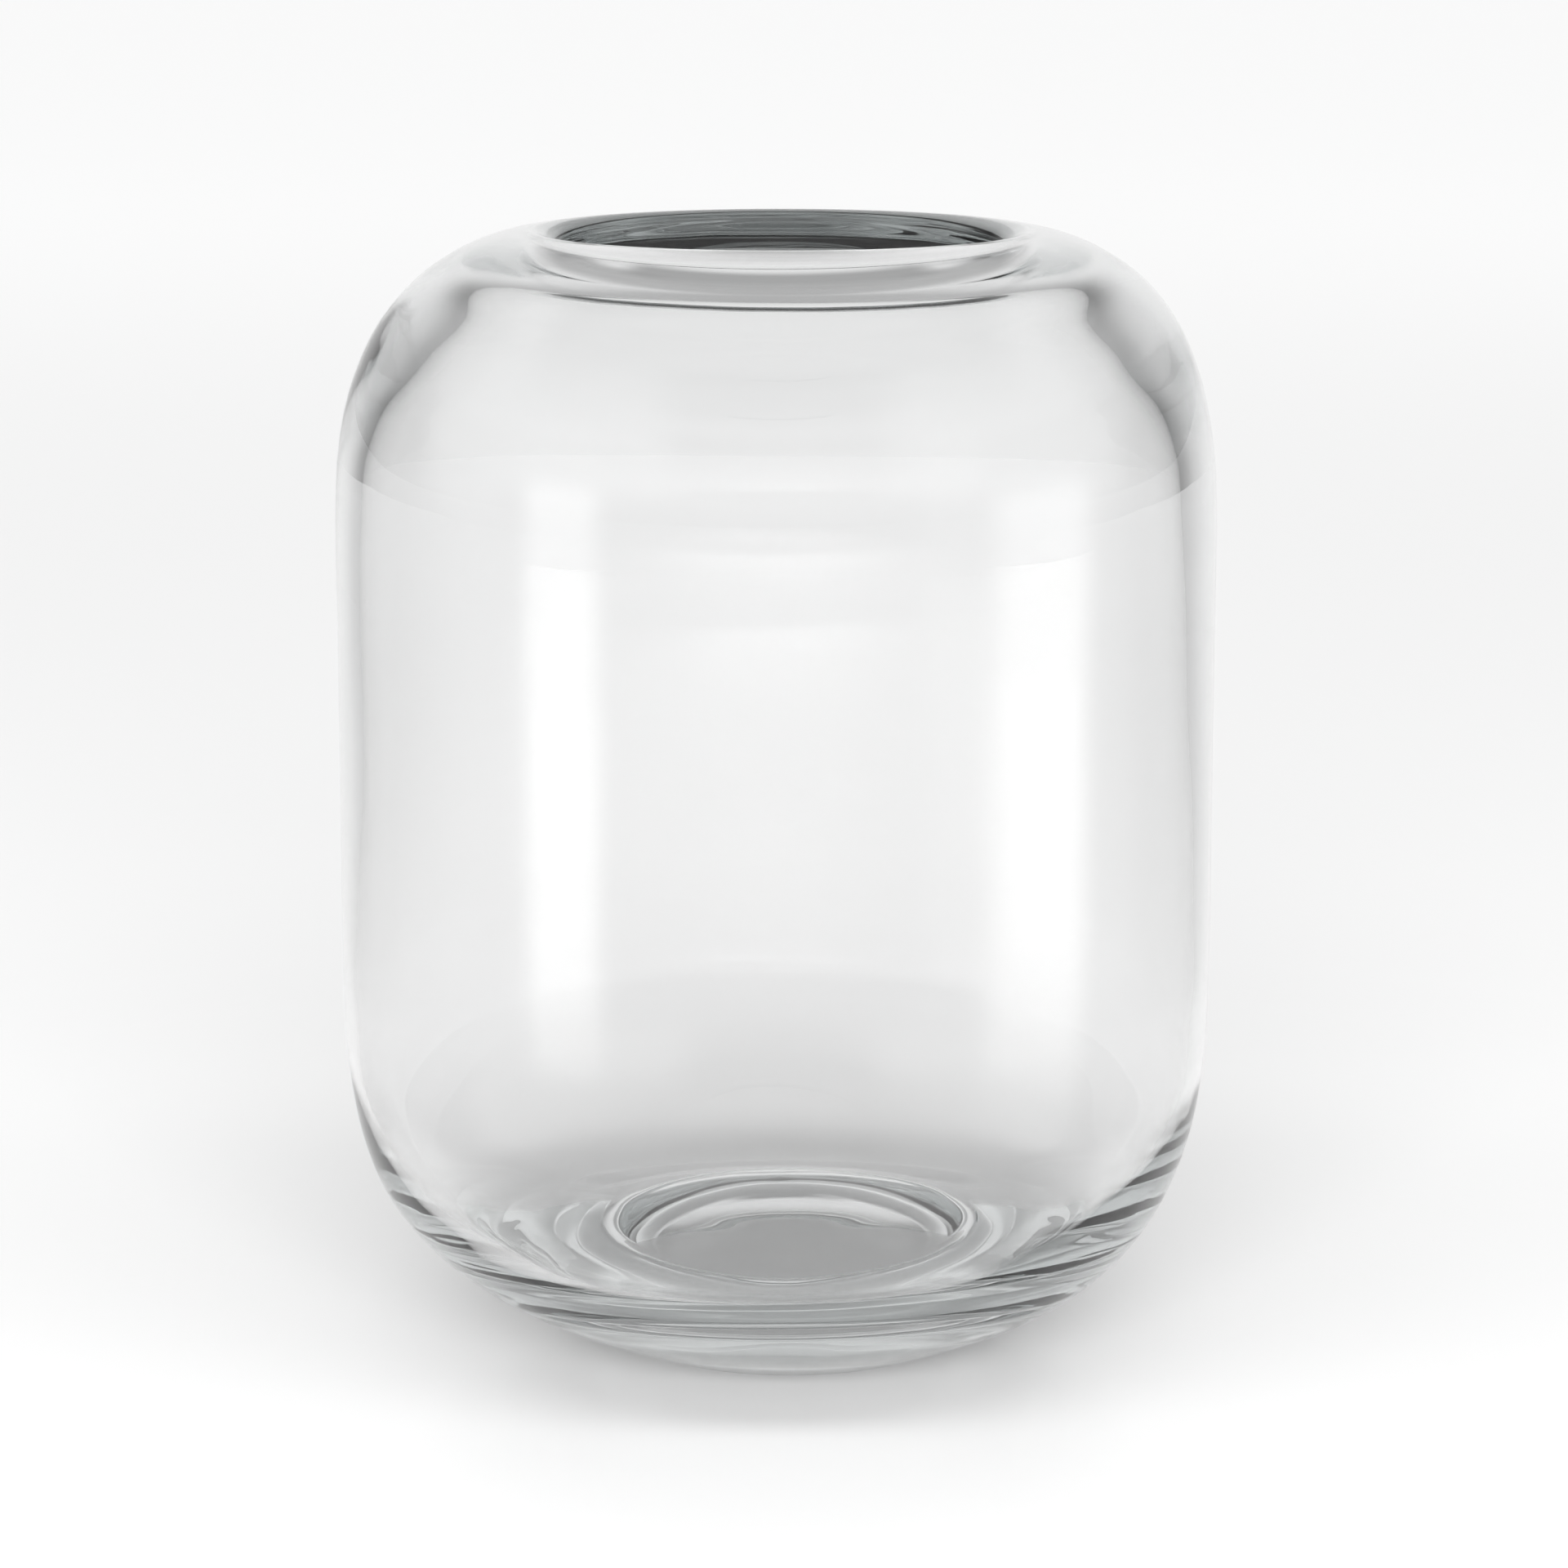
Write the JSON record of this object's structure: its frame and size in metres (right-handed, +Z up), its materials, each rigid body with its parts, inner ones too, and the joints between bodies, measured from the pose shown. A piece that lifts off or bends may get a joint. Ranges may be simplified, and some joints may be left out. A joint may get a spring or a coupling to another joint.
{
  "type": "cylinder vase",
  "caption": "Thick clear glass cylinder vase with rounded shoulder and foot, a rolled lip around a wide mouth and a small punt under the base.",
  "frame": {"origin": "centre of the flat ring that the vase stands on, at table height", "axes": "+Z up along the vase's axis, towards the mouth; -Y towards the viewer of the pictured side"},
  "size_m": [0.156, 0.156, 0.2],
  "materials": {
    "clear_glass": "clear, fire-polished blown glass, slightly wavy inside"
  },
  "bodies": {
    "root": {"glass_vessel": "clear_glass"}
  },
  "joints": []
}
